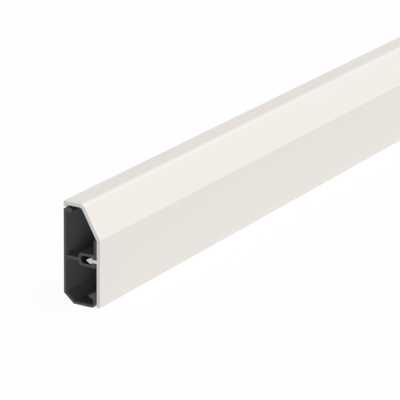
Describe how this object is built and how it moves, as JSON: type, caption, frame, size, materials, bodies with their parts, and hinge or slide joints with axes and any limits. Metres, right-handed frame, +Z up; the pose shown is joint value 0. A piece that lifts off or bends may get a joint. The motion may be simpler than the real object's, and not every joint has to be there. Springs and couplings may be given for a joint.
{
  "type": "skirting trunking",
  "caption": "Straight skirting trunking: a dark base with an upper and a lower cable chamber and a snap clip, closed by a cream clip-on cover with a sloping upper face.",
  "frame": {"origin": "on the floor, halfway along the length and halfway between the wall face and the front of the cover", "axes": "X along the length, +Y towards the wall, +Z up from the floor"},
  "size_m": [2, 0.02, 0.05],
  "materials": {
    "base_plastic": "satin",
    "cover_plastic": "satin"
  },
  "bodies": {
    "root": {"trunking_base": "base_plastic", "clip_on_cover": "cover_plastic"}
  },
  "joints": []
}
